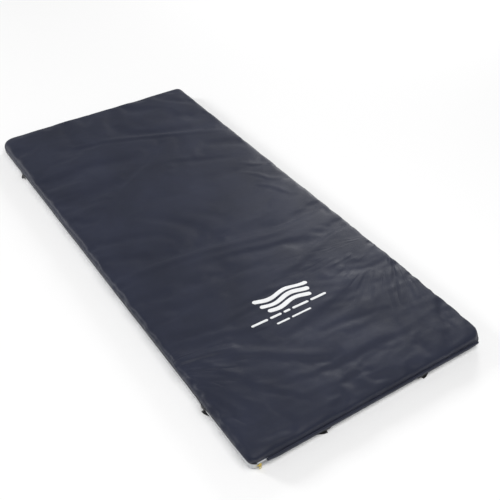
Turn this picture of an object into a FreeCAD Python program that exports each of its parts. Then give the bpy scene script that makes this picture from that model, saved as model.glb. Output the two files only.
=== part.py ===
"""Gel and foam mattress overlay, drawn as the separate pieces it comes apart into.

Frame: millimetres, +X to the right and +Y to the head when standing at the foot end, +Z up.
Origin: middle of the underside. Each piece is written to parts/NAME.step.
"""

import FreeCAD, Part

import math
import os

V = FreeCAD.Vector

# ---- driving dimensions, mm ------------------------------------------------------------
length = 1930.0  # head to foot
width = 864.0
height = 51.0
corner_radius = 16.0  # plan radius of the sewn corners
top_edge_radius = 14.0  # roll of the foam under the top panel
bottom_edge_radius = 5.0

# covers and fire sock, nested one in another
cover_wall = 0.8
sock_wall = 1.0
layer_gap = 0.3  # free space between one layer and the next
seam_height = 22.0  # where the dark top cover is sewn to the pale base

# binding tape over the seam on the two long sides and the head end
binding_wall = 0.6
binding_height = 4.0

# foam core
comfort_thickness = 10.0  # soft sheet over the gel
side_rail_width = 80.0
end_rail_width = 120.0
divider_width = 40.0

# gel bladders
bladder_thickness = 12.0
bladder_count = 3
bladder_film = 0.6
bladder_edge_radius = 5.0
bladder_corner_radius = 30.0
bladder_gap = 0.5  # free space round a bladder in its pocket
flange_width = 8.0  # welded rim of a bladder
flange_thickness = 1.2
gel_gap = 0.1
weld_spot_radius = 9.0  # welds that keep the gel spread out
weld_spots_across = 3
weld_spots_along = 2

# fire sock's open end, at the head
sock_mouth_side = 132.0  # from each side of the mattress to the mouth
sock_mouth_margin = 8.0  # sock left above and below the mouth

# zip along the foot end
zip_end_margin = 1.0  # from the end of the straight wall to the zip slot
channel_gap = 1.0  # above and below the slider, in the room behind the zip
zip_centre_height = 16.0
coil_height = 2.4  # one row of teeth
coil_spacing = 0.8  # between the two rows, where the slider's divider runs
coil_stand = 0.6  # how far the teeth stand out of the tape
lower_tape_height = 4.2
stop_length = 3.0
stop_margin = 1.0
stop_overhang = 0.3

# zip slider
slider_length = 9.5
slider_width = 9.6
slider_plate = 0.9
slider_clearance = 0.2
divider_length = 5.0
divider_thickness = 0.4
bridge_post_length = 1.2
bridge_span = 6.4  # over both posts
bridge_bar_radius = 0.4
bridge_hole = 1.1
bridge_depth = 1.2

# zip pull: a wire link round the slider's bridge, and a flat tab on the link
link_wire_radius = 0.4
link_inner_radius = 0.65
link_leg = 3.0
tab_width = 6.6
tab_thickness = 1.0
tab_hole_radius = 1.0
tab_rim = 0.6  # metal above the tab's hole
grip_margin = 1.8  # metal beside and below the grip slot
grip_below_hole = 1.2  # metal between the hole and the grip slot
tab_bottom_height = 1.5
tab_corner_radius = 1.6

# flap that hangs over the zip
flap_wall = 0.8
flap_slider_gap = 16.0  # from the closed slider to the flap's left end
flap_right_margin = 18.0  # from the side of the mattress to the flap's right end
flap_above_seam = 6.0  # from the seam up to the flap's sewn edge
flap_knee_drop = 3.5  # from the sewn edge down to where the flap turns straight down
flap_hem_height = 11.0
flap_root_gap = 0.3
flap_clearance = 0.4  # from the pull's link to the flap

# elastic corner straps
strap_width = 25.0
strap_thickness = 1.2
strap_from_corner = 254.0
strap_bow = 30.0  # slack, as the rise of the strap's arc over the straight line between its ends
strap_floor_gap = 0.2
strap_roof_gap = 0.4
strap_side_gap = 2.0  # each side of the strap, in the groove it presses into the base
strap_end_gap = 0.3
strap_axis_offset = 14.0  # from the line between the strap's ends to its bend line
strap_axis_gap = 1.0  # from the bend line to the free part of the strap

# care label at the head end
label_width = 70.0
label_wall = 0.3
label_bottom_height = 5.0
label_strap_gap = 40.0  # from the right strap's tab to the label

PARTS = "parts"
BIG = 4000.0  # larger than the mattress, for cutting tools
tool_overhang = 5.0  # how far a cutting tool runs past what it cuts
tolerance = 1e-6


# ---- shared shapes -----------------------------------------------------------------------
def box(low, high):
    return Part.makeBox(high[0] - low[0], high[1] - low[1], high[2] - low[2], V(*low))


def rounded_plate(size_x, size_y, radius, z_low, z_high, centre=(0.0, 0.0)):
    """Upright block with a rounded rectangle as its plan."""
    x, y = size_x / 2, size_y / 2
    c = radius * (1 - math.sqrt(0.5))
    edges = []
    for k, (sx, sy) in enumerate([(1, 1), (-1, 1), (-1, -1), (1, -1)]):
        nx, ny = [(-1, 1), (-1, -1), (1, -1), (1, 1)][k]
        start = V(sx * x, sy * (y - radius), 0) if k % 2 == 0 else V(sx * (x - radius), sy * y, 0)
        end = V(sx * (x - radius), sy * y, 0) if k % 2 == 0 else V(sx * x, sy * (y - radius), 0)
        edges.append(Part.Arc(start, V(sx * (x - c), sy * (y - c), 0), end).toShape())
        after = V(nx * (x - radius), ny * y, 0) if k % 2 == 0 else V(nx * x, ny * (y - radius), 0)
        if (after - end).Length > tolerance:
            edges.append(Part.LineSegment(end, after).toShape())
    face = Part.Face(Part.Wire(edges))
    solid = face.extrude(V(0, 0, z_high - z_low))
    solid.translate(V(centre[0], centre[1], z_low))
    return solid


def level_edges(solid, z):
    """Edges that lie wholly at height z."""
    return [e for e in solid.Edges
            if abs(e.BoundBox.ZMin - z) < tolerance and abs(e.BoundBox.ZMax - z) < tolerance]


def thickness_edges(plate):
    """Edges of an upright plate that run through its thickness, along Y."""
    return [e for e in plate.Edges if e.BoundBox.XLength < tolerance and e.BoundBox.ZLength < tolerance]


def soft_block(size_x, size_y, radius, z_low, z_high, top_radius, bottom_radius, centre=(0.0, 0.0)):
    """Rounded plate with rolled top and bottom edges."""
    solid = rounded_plate(size_x, size_y, radius, z_low, z_high, centre)
    solid = solid.makeFillet(top_radius, level_edges(solid, z_high))
    return solid.makeFillet(bottom_radius, level_edges(solid, z_low))


def save(name, shape):
    """Writes a piece after checking that it is made of sound closed solids."""
    solids = shape.Solids
    if not solids or not all(s.isValid() and s.isClosed() and s.Volume > 0 for s in solids):
        raise ValueError(name + " is not made of closed solids")
    piece = solids[0] if len(solids) == 1 else Part.makeCompound(solids)
    piece.exportStep(os.path.join(PARTS, name + ".step"))
    box_size = piece.BoundBox
    print("%-26s %8.1f x %8.1f x %6.1f  %d solid(s)"
          % (name, box_size.XLength, box_size.YLength, box_size.ZLength, len(solids)))


# ---- elastic corner straps -----------------------------------------------------------------
corners = {
    "foot_left": (-1, -1),
    "foot_right": (1, -1),
    "head_left": (-1, 1),
    "head_right": (1, 1),
}
strap_top = strap_floor_gap + strap_thickness
groove_depth = strap_top + strap_roof_gap
strap_chord = strap_from_corner * math.sqrt(2)
strap_radius = (strap_chord ** 2 / 4 + strap_bow ** 2) / (2 * strap_bow)


def strap_frame(corner):
    """Middle of the line between a strap's ends, and the direction from there to the corner."""
    sx, sy = corners[corner]
    middle = V(sx * (width - strap_from_corner) / 2, sy * (length - strap_from_corner) / 2, 0)
    return middle, V(sx, sy, 0).normalize()


def strap_band(corner, grow, z_low, z_high):
    """Ring of the strap's arc, wider than the strap by grow on each side, running past the outline."""
    middle, outward = strap_frame(corner)
    centre = middle - outward * (strap_radius - strap_bow) + V(0, 0, z_low)
    outer = Part.makeCylinder(strap_radius + strap_width / 2 + grow, z_high - z_low, centre)
    inner = Part.makeCylinder(strap_radius - strap_width / 2 - grow, z_high - z_low, centre)
    return outer.cut(inner).common(corner_side(corner, strap_axis_offset + grow, z_low, z_high))


def corner_side(corner, back, z_low, z_high):
    """Everything on the corner's side of the line that lies back behind a strap's ends."""
    middle, outward = strap_frame(corner)
    along = V(-outward.y, outward.x, 0)
    start = middle - outward * back + V(0, 0, z_low)
    points = [start - along * width, start + along * width,
              start + along * width + outward * width, start - along * width + outward * width]
    face = Part.Face(Part.makePolygon(points + points[:1]))
    return face.extrude(V(0, 0, z_high - z_low))


def strap_grooves(grow):
    """The dents that the straps press into the underside, grown by the layers above them."""
    tools = [strap_band(c, strap_side_gap + grow, -tool_overhang, groove_depth + grow) for c in corners]
    return Part.makeCompound(tools)


def make_strap(corner):
    band = strap_band(corner, 0.0, strap_floor_gap, strap_top)
    free = corner_side(corner, strap_axis_offset - strap_axis_gap, strap_floor_gap, strap_top)
    inside = rounded_plate(width - 2 * strap_end_gap, length - 2 * strap_end_gap,
                           corner_radius, strap_floor_gap, strap_top)
    return band.common(free).common(inside)


def make_side_tab(corner):
    """Strap end sewn to the long side. It stops under the binding."""
    sx, sy = corners[corner]
    middle_y = sy * (length / 2 - strap_from_corner)
    inner, outer = sx * width / 2, sx * (width / 2 + strap_thickness)
    return box((min(inner, outer), middle_y - strap_width / 2, strap_floor_gap),
               (max(inner, outer), middle_y + strap_width / 2, seam_height - binding_height))


def make_end_tab(corner):
    """Strap end sewn to the head or foot end. At the foot it stops under the zip tape."""
    sx, sy = corners[corner]
    middle_x = sx * (width / 2 - strap_from_corner)
    inner, outer = sy * length / 2, sy * (length / 2 + strap_thickness)
    top = seam_height - binding_height if sy > 0 else lower_tape_bottom
    return box((middle_x - strap_width / 2, min(inner, outer), strap_floor_gap),
               (middle_x + strap_width / 2, max(inner, outer), top))


# ---- nested layers -------------------------------------------------------------------------
cover_inside = cover_wall
sock_outside = cover_inside + layer_gap
sock_inside = sock_outside + sock_wall
core_outside = sock_inside + layer_gap


def envelope(inset):
    """The mattress, smaller by inset on every face, with the straps' grooves in its underside."""
    block = soft_block(width - 2 * inset, length - 2 * inset, corner_radius - inset, inset, height - inset,
                       top_edge_radius - inset, bottom_edge_radius - inset)
    return block.cut(strap_grooves(inset))


def slider_channel(grow):
    """Room behind the zip for the slider's back plate to run in."""
    back = cover_wall + 2 * slider_clearance + slider_plate
    half_height = slider_width / 2 + channel_gap + grow
    return box((-BIG / 2, -length / 2 - tool_overhang, zip_centre_height - half_height),
               (BIG / 2, -length / 2 + back + grow, zip_centre_height + half_height))


def inner_envelope(inset):
    return envelope(inset).cut(slider_channel(inset - cover_inside))


# ---- zip, set in the foot end's wall ---------------------------------------------------------
wall_y = -length / 2  # outer face of the foot end
zip_half = width / 2 - corner_radius - zip_end_margin
coil_low = zip_centre_height - coil_spacing / 2 - coil_height
coil_high = zip_centre_height + coil_spacing / 2 + coil_height
lower_tape_bottom = coil_low - lower_tape_height
coil_half = zip_half - stop_margin - stop_length


def zip_strip(half, out_low, out_high, z_low, z_high):
    """Bar along the foot end; out is the distance outwards from the wall's outer face."""
    return box((-half, wall_y - out_high, z_low), (half, wall_y - out_low, z_high))


def make_zip_fabric():
    slot_low, slot_high = lower_tape_bottom, seam_height
    upper = zip_strip(zip_half, -cover_wall, 0.0, coil_high, slot_high)
    lower = zip_strip(zip_half, -cover_wall, 0.0, slot_low, coil_low)
    slot = zip_strip(zip_half, -cover_wall - tool_overhang, tool_overhang, slot_low, slot_high)
    return upper, lower, slot


def make_coil(z_low, z_high):
    return zip_strip(coil_half, -cover_wall, coil_stand, z_low, z_high)


def make_stop(side):
    """Metal crimp at one end of the teeth."""
    start = coil_half if side > 0 else -coil_half - stop_length
    return box((start, wall_y - coil_stand - stop_overhang, coil_low),
               (start + stop_length, wall_y + cover_wall, coil_high))


slider_rest_x = -(coil_half - slider_length / 2 - slider_clearance)
slider_corner_radius = slider_length / 4
plate_in = coil_stand + slider_clearance  # inner face of the slider's front plate
plate_out = plate_in + slider_plate
bar_out = plate_out + bridge_hole + bridge_bar_radius  # axis of the bridge's bar


def slider_box(half_x, out_low, out_high, z_low, z_high, middle=0.0):
    return box((slider_rest_x + middle - half_x, wall_y - out_high, z_low),
               (slider_rest_x + middle + half_x, wall_y - out_low, z_high))


def make_slider():
    z_low = zip_centre_height - slider_width / 2
    z_high = zip_centre_height + slider_width / 2
    front = slider_box(slider_length / 2, plate_in, plate_out, z_low, z_high)
    back_out = -cover_wall - slider_clearance
    back = slider_box(slider_length / 2, back_out - slider_plate, back_out, z_low, z_high)
    front = front.makeFillet(slider_corner_radius, thickness_edges(front))
    back = back.makeFillet(slider_corner_radius, thickness_edges(back))
    divider = slider_box(divider_length / 2, back_out, plate_in,
                         zip_centre_height - divider_thickness / 2, zip_centre_height + divider_thickness / 2)
    body = front.fuse([back, divider])
    rail_half = slider_length / 2 - slider_corner_radius
    for low, high in ((z_low, coil_low - slider_clearance), (coil_high + slider_clearance, z_high)):
        body = body.fuse(slider_box(rail_half, slider_clearance, plate_in, low, high))
    post_half = bridge_post_length / 2
    post_low = zip_centre_height - bridge_depth / 2
    for side in (-1, 1):
        middle = side * (bridge_span / 2 - post_half)
        body = body.fuse(slider_box(post_half, plate_out, bar_out + bridge_bar_radius,
                                    post_low, post_low + bridge_depth, middle))
    bar_start = V(slider_rest_x - bridge_span / 2 + post_half, wall_y - bar_out, zip_centre_height)
    bar = Part.makeCylinder(bridge_bar_radius, bridge_span - 2 * post_half, bar_start, V(1, 0, 0))
    return body.fuse(bar).removeSplitter()


link_radius = link_inner_radius + link_wire_radius  # middle of the wire
link_bottom = zip_centre_height - link_leg


def make_link():
    """Oval wire link that hangs on the bridge's bar, in the plane across the zip."""
    y, front, back = wall_y - bar_out, -link_radius, link_radius
    x = slider_rest_x
    top = Part.Arc(V(x, y + front, zip_centre_height), V(x, y, zip_centre_height + link_radius),
                   V(x, y + back, zip_centre_height))
    bottom = Part.Arc(V(x, y + back, link_bottom), V(x, y, link_bottom - link_radius),
                      V(x, y + front, link_bottom))
    path = Part.Wire([
        top.toShape(),
        Part.LineSegment(V(x, y + back, zip_centre_height), V(x, y + back, link_bottom)).toShape(),
        bottom.toShape(),
        Part.LineSegment(V(x, y + front, link_bottom), V(x, y + front, zip_centre_height)).toShape(),
    ])
    section = Part.Circle(V(x, y + front, zip_centre_height), V(0, 0, 1), link_wire_radius)
    return path.makePipeShell([Part.Wire([section.toShape()])], True, False)


def make_tab():
    """Flat pull tab with a hole for the link near its top and a grip slot below."""
    hole_height = link_bottom - link_radius
    top = hole_height + tab_hole_radius + tab_rim
    y = wall_y - bar_out
    plate = box((slider_rest_x - tab_width / 2, y - tab_thickness / 2, tab_bottom_height),
                (slider_rest_x + tab_width / 2, y + tab_thickness / 2, top))
    plate = plate.makeFillet(tab_corner_radius, thickness_edges(plate))
    hole = Part.makeCylinder(tab_hole_radius, 2 * tool_overhang,
                             V(slider_rest_x, y - tool_overhang, hole_height), V(0, 1, 0))
    slot_top = hole_height - tab_hole_radius - grip_below_hole
    slot_bottom = tab_bottom_height + grip_margin
    slot_half = tab_width / 2 - grip_margin
    grip = box((slider_rest_x - slot_half, y - tab_thickness, slot_bottom),
               (slider_rest_x + slot_half, y + tab_thickness, slot_top))
    return plate.cut(hole).cut(grip)


# ---- flap over the zip -----------------------------------------------------------------------
flap_in = bar_out + link_radius + link_wire_radius + flap_clearance  # inner face of the hanging part
flap_pivot_out = flap_root_gap + flap_wall / 2
flap_root_height = seam_height + flap_above_seam
flap_knee_height = flap_root_height - flap_knee_drop
flap_left_end = slider_rest_x + slider_length / 2 + flap_slider_gap
flap_right_end = width / 2 - flap_right_margin


def make_flap():
    """Bent strip: sewn to the wall at its top, then out over the zip and straight down."""
    profile = [
        (flap_root_gap, flap_root_height),
        (flap_root_gap + flap_wall, flap_root_height),
        (flap_in + flap_wall, flap_knee_height),
        (flap_in + flap_wall, flap_hem_height),
        (flap_in, flap_hem_height),
        (flap_in, flap_knee_height - flap_wall / 2),
        (flap_root_gap, flap_root_height - flap_wall),
    ]
    points = [V(flap_left_end, wall_y - out, z) for out, z in profile]
    face = Part.Face(Part.makePolygon(points + points[:1]))
    return face.extrude(V(flap_right_end - flap_left_end, 0, 0))


# ---- covers, binding and label -----------------------------------------------------------------
def make_covers(slot):
    shell = envelope(0.0).cut(envelope(cover_inside))
    below = box((-BIG / 2, -BIG / 2, -BIG / 2), (BIG / 2, BIG / 2, seam_height))
    return shell.cut(below), shell.common(below).cut(slot)


def make_binding():
    """Tape round the seam, all but the foot end, where the zip is."""
    low = seam_height - binding_height
    outer = rounded_plate(width + 2 * binding_wall, length + 2 * binding_wall,
                          corner_radius + binding_wall, low, seam_height)
    ring = outer.cut(rounded_plate(width, length, corner_radius, low, seam_height))
    return ring.cut(zip_strip(zip_half, -corner_radius, tool_overhang, low - tool_overhang,
                              seam_height + tool_overhang))


def make_label():
    """Blank care label that hangs from the binding at the head end."""
    strap_edge = width / 2 - strap_from_corner - strap_width / 2
    start = strap_edge - label_strap_gap - label_width
    return box((start, length / 2, label_bottom_height),
               (start + label_width, length / 2 + label_wall, seam_height - binding_height))


def make_sock():
    """Knitted fire sleeve, open at the head end where it is tucked in."""
    shell = inner_envelope(sock_outside).cut(inner_envelope(sock_inside))
    mouth_half = width / 2 - sock_mouth_side
    mouth = box((-mouth_half, length / 2 - sock_inside - tool_overhang, sock_outside + sock_mouth_margin),
                (mouth_half, length / 2, height - sock_outside - sock_mouth_margin))
    return shell.cut(mouth)


# ---- foam core ---------------------------------------------------------------------------------
core_low = core_outside
core_high = height - core_outside
gel_high = core_high - comfort_thickness  # underside of the comfort sheet
gel_low = gel_high - bladder_thickness - bladder_gap  # top of the base slab
pocket_half_x = width / 2 - core_outside - side_rail_width
inner_half_y = length / 2 - core_outside - end_rail_width
pocket_length = (2 * inner_half_y - (bladder_count - 1) * divider_width) / bladder_count


def core_slice(core, low, high):
    return core.common(box(low, high))


def make_foam(core):
    """The core cut into its slab, rails, dividers and comfort sheet."""
    pieces = {
        "foam_base_slab": core_slice(core, (-BIG / 2, -BIG / 2, 0), (BIG / 2, BIG / 2, gel_low)),
        "foam_comfort_sheet": core_slice(core, (-BIG / 2, -BIG / 2, gel_high), (BIG / 2, BIG / 2, BIG / 2)),
    }
    for name, side in (("foam_side_rail_left", -1), ("foam_side_rail_right", 1)):
        near, far = side * pocket_half_x, side * BIG / 2
        pieces[name] = core_slice(core, (min(near, far), -BIG / 2, gel_low),
                                  (max(near, far), BIG / 2, gel_high))
    for name, side in (("foam_foot_rail", -1), ("foam_head_rail", 1)):
        near, far = side * inner_half_y, side * BIG / 2
        pieces[name] = core_slice(core, (-pocket_half_x, min(near, far), gel_low),
                                  (pocket_half_x, max(near, far), gel_high))
    for k in range(bladder_count - 1):
        start = -inner_half_y + (k + 1) * pocket_length + k * divider_width
        pieces["foam_divider_%d" % (k + 1)] = box((-pocket_half_x, start, gel_low),
                                                  (pocket_half_x, start + divider_width, gel_high))
    return pieces


# ---- gel bladders --------------------------------------------------------------------------------
bladder_names = ["foot", "torso", "head"]


def weld_columns(centre_y, size_x, size_y, radius):
    columns = []
    bottom = gel_low - bladder_thickness / 2
    for i in range(weld_spots_across):
        for j in range(weld_spots_along):
            x = size_x * ((i + 1) / (weld_spots_across + 1) - 0.5)
            y = centre_y + size_y * ((j + 1) / (weld_spots_along + 1) - 0.5)
            columns.append(Part.makeCylinder(radius, 2 * bladder_thickness, V(x, y, bottom)))
    return Part.makeCompound(columns)


def make_bladder(index):
    """One bladder: a film bag with a welded rim and weld spots, and the gel that fills it."""
    centre_y = -inner_half_y + pocket_length / 2 + index * (pocket_length + divider_width)
    rim_x = 2 * (pocket_half_x - bladder_gap)
    rim_y = pocket_length - 2 * bladder_gap
    bag_x, bag_y = rim_x - 2 * flange_width, rim_y - 2 * flange_width
    low, high = gel_low + bladder_gap / 2, gel_low + bladder_gap / 2 + bladder_thickness
    middle = (low + high) / 2

    def filled(inset):
        edge_radius = bladder_edge_radius - inset
        return soft_block(bag_x - 2 * inset, bag_y - 2 * inset, bladder_corner_radius - inset, low + inset,
                          high - inset, edge_radius, edge_radius, (0.0, centre_y))

    rim = rounded_plate(rim_x, rim_y, bladder_corner_radius + flange_width,
                        middle - flange_thickness / 2, middle + flange_thickness / 2, (0.0, centre_y))
    hollow = filled(bladder_film).cut(weld_columns(centre_y, bag_x, bag_y, weld_spot_radius + bladder_film))
    bag = filled(0.0).fuse(rim).cut(weld_columns(centre_y, bag_x, bag_y, weld_spot_radius)).cut(hollow)
    gel = filled(bladder_film + gel_gap)
    gel = gel.cut(weld_columns(centre_y, bag_x, bag_y, weld_spot_radius + bladder_film + gel_gap))
    return bag, gel


# ---- build -------------------------------------------------------------------------------------------
def main():
    os.makedirs(PARTS, exist_ok=True)
    upper_tape, lower_tape, slot = make_zip_fabric()
    top_cover, base_cover = make_covers(slot)
    save("top_cover", top_cover)
    save("base_cover", base_cover)
    save("seam_binding", make_binding())
    save("care_label", make_label())
    save("fire_sock", make_sock())

    for name, piece in make_foam(inner_envelope(core_outside)).items():
        save(name, piece)
    for index, name in enumerate(bladder_names[:bladder_count]):
        bag, gel = make_bladder(index)
        save("gel_bladder_" + name, bag)
        save("gel_fill_" + name, gel)

    save("zip_tape_upper", upper_tape)
    save("zip_tape_lower", lower_tape)
    save("zip_teeth_upper", make_coil(zip_centre_height + coil_spacing / 2, coil_high))
    save("zip_teeth_lower", make_coil(coil_low, zip_centre_height - coil_spacing / 2))
    save("zip_stop_left", make_stop(-1))
    save("zip_stop_right", make_stop(1))
    save("zip_slider", make_slider())
    save("zip_pull_link", make_link())
    save("zip_pull_tab", make_tab())
    save("zip_flap", make_flap())

    for corner in corners:
        save("strap_" + corner, make_strap(corner))
        save("strap_side_tab_" + corner, make_side_tab(corner))
        save("strap_end_tab_" + corner, make_end_tab(corner))

    print("pull axis out %.3f height %.3f" % (bar_out, zip_centre_height))
    print("flap axis out %.3f height %.3f" % (flap_pivot_out, flap_root_height - flap_wall / 2))
    print("slider rest x %.3f travel %.3f" % (slider_rest_x, -2 * slider_rest_x))


main()
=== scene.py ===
import math

import bmesh
import bpy
import numpy as np
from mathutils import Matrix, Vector, noise
from mathutils.bvhtree import BVHTree


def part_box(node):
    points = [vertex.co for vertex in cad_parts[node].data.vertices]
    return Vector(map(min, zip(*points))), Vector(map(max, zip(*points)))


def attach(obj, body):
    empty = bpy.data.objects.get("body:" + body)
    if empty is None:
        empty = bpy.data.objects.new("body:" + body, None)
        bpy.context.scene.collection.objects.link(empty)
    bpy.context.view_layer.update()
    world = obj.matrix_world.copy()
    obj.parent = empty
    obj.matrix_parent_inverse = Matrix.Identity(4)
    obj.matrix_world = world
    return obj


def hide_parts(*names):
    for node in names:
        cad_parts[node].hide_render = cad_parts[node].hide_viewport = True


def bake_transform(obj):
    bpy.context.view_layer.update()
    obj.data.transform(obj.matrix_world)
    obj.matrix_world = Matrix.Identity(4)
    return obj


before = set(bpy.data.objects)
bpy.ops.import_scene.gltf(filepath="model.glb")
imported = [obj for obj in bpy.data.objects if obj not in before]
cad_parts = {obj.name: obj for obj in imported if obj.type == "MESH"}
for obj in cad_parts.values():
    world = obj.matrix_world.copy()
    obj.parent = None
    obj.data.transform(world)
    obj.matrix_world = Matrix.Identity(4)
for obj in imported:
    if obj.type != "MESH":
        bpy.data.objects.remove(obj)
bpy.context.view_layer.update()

mm = 0.001

# where the frame says the pieces are
topLow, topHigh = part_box("top_cover")
halfWidth, halfLength = topHigh.x, topHigh.y
seamZ, topZ = topLow.z, topHigh.z
tapeLow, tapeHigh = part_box("zip_tape_lower")
flapLow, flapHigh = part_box("zip_flap")
bindingLow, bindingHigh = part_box("seam_binding")

cover = {
    "gridStep": 12.0 * mm,  # before the one subdivision
    "edgeRoll": 15.0 * mm,
    "cornerRadius": 17.0 * mm,
    "thickness": 0.7 * mm,
    "headLeftCorner": 56.0 * mm,
    "footRightCorner": 46.0 * mm,
    "otherCorner": 22.0 * mm,
    "tongueDrop": 9.0 * mm,  # how far a strap pulls the lower edge down
    "tongueHalf": 34.0 * mm,
    "cornerLift": 7.0 * mm,  # at the zip's closed end
    "bulge": 1.6 * mm,
    "edgeWave": 5.0 * mm,
}

# Folds on the top: points across the bed and towards the head, height and half width, in mm
folds = [
    ("middle", [(-400, -132), (-261, -138), (-109, -150), (37, -178), (192, -204), (400, -190)], 5.0, 13),
    ("middleTwin", [(-240, -172), (-60, -196), (120, -236), (300, -250)], 1.8, 16),
    ("head", [(-110, 722), (-20, 684), (107, 637), (301, 548), (428, 494)], 3.4, 11),
    ("headLow", [(-210, 742), (-150, 716), (-90, 712)], 1.6, 9),
    ("arc", [(-420, 75), (-370, 122), (-317, 180), (-246, 244), (-94, 381), (46, 435), (201, 378),
             (332, 319)], 2.8, 17),
    ("arcInner", [(-408, 30), (-365, 90), (-320, 150)], 2.6, 8),
    ("rightShortA", [(275, 200), (318, 152), (352, 95), (402, 60)], 3.2, 8),
    ("rightShortB", [(285, 95), (330, 35), (362, -45)], 3.0, 8),
    ("rightShortC", [(300, 262), (360, 214), (425, 196)], 2.4, 8),
    ("leftFanA", [(-425, -552), (-385, -576), (-350, -616), (-303, -707), (-231, -808),
     (-151, -892)], 6.0, 11),
    ("leftFanB", [(-424, -556), (-380, -566), (-290, -600), (-190, -670), (-90, -742),
     (0, -800)], 7.5, 13),
    ("leftFanC", [(-418, -530), (-330, -510), (-200, -540), (-80, -598), (60, -660)], 2.0, 11),
    ("leftFanD", [(-426, -620), (-384, -690), (-340, -770), (-322, -880)], 3.4, 10),
    ("leftFanE", [(-428, -660), (-395, -740), (-372, -830)], 3.6, 8),
    ("leftShortA", [(-428, -628), (-380, -664), (-305, -716)], 3.6, 8),
    ("leftShortB", [(-428, -704), (-370, -744), (-296, -778)], 3.2, 8),
    ("leftShortC", [(-428, -786), (-380, -814), (-310, -838)], 3.0, 8),
    ("leftShortD", [(-426, -850), (-370, -874), (-280, -890)], 2.6, 8),
    ("rightBundleA", [(424, -640), (402, -676), (352, -748), (310, -800), (282, -876)], 4.0, 10),
    ("rightBundleB", [(426, -722), (398, -770), (352, -834), (330, -912)], 2.8, 7),
    ("rightBundleC", [(418, -596), (352, -668), (282, -736), (236, -800), (214, -902)], 2.2, 14),
    ("rightBundleD", [(424, -800), (388, -850), (366, -920)], 2.6, 8),
    ("rightBundleE", [(408, -530), (330, -612), (268, -650), (196, -668)], 1.8, 12),
    ("rightBundleF", [(380, -700), (330, -742), (262, -838), (160, -880)], 1.6, 7),
    ("footLineA", [(-300, -762), (-150, -796), (20, -812), (180, -790)], 2.8, 10),
    ("footLineB", [(-260, -848), (-90, -872), (90, -868), (210, -842)], 2.6, 9),
    ("footLineC", [(-380, -905), (-210, -925), (-20, -922), (160, -905)], 2.4, 8),
    ("printLine", [(-120, -630), (40, -600), (210, -560), (330, -480)], 2.2, 14),
    ("printUpper", [(20, -392), (150, -372), (300, -330), (400, -320)], 2.0, 15),
    ("sideLeftLong", [(-415, 330), (-404, 160), (-404, -80), (-412, -300)], 1.6, 10),
]

wrinkles = {
    "footHeight": 4.2 * mm,
    "headHeight": 1.2 * mm,
    "edgeHeight": 3.0 * mm,
    "foldGain": 1.3,
    "soft": 6.0 * mm,  # height above which folds start to flatten
    "most": 4.0 * mm,
    "swell": 1.8 * mm,  # slow rise and fall of the gel under the cloth
    "rest": 2.2 * mm,
}


def smoothStep(low, high, x):
    t = np.clip((x - low) / (high - low), 0.0, 1.0)
    return t * t * (3 - 2 * t)


def noiseAt(x, y, z=0.0):
    # smooth noise for arrays of places
    flat = zip(np.ravel(x), np.ravel(y), np.broadcast_to(z, np.shape(x)).ravel())
    return np.array([noise.noise((float(a), float(b), float(c))) for a, b, c in flat]).reshape(np.shape(x))


def smoothPath(points, perSpan=6):
    # Catmull-Rom through the points
    p = np.array(points, float)
    p = np.vstack([2 * p[0] - p[1], p, 2 * p[-1] - p[-2]])
    t = np.linspace(0, 1, perSpan, endpoint=False)[:, None]
    spans = []
    for a, b, c, d in zip(p[:-3], p[1:-2], p[2:-1], p[3:]):
        spans.append(0.5 * (2 * b + (c - a) * t + (2 * a - 5 * b + 4 * c - d) * t**2
                            + (3 * b - a - 3 * c + d) * t**3))
    return np.vstack(spans + [p[-2:-1]])


def foldHeight(x, y, points, height, half):
    # a ridge along the path, steep on its right, with a shallow trough there, dying out at both ends
    path = smoothPath(points) * mm
    best = np.full(x.shape, 1e9)
    along = np.zeros(x.shape)
    side = np.zeros(x.shape)
    steps = len(path) - 1
    for k in range(steps):
        a, d = path[k], path[k + 1] - path[k]
        t = np.clip(((x - a[0]) * d[0] + (y - a[1]) * d[1]) / (d @ d), 0, 1)
        dx, dy = x - a[0] - t * d[0], y - a[1] - t * d[1]
        r = np.hypot(dx, dy)
        near = r < best
        best = np.where(near, r, best)
        along = np.where(near, (k + t) / steps, along)
        side = np.where(near, np.sign(d[0] * dy - d[1] * dx), side)
    half = half * mm
    fade = smoothStep(0, 0.1, along) * smoothStep(0, 0.3, 1 - along)
    ridge = np.exp(-(best / (half * np.where(side > 0, 1.3, 0.72))) ** 2)
    trough = np.exp(-((best * side + 1.5 * half) / (0.9 * half)) ** 2)
    return height * mm * fade * (ridge - 0.45 * trough)


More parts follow.
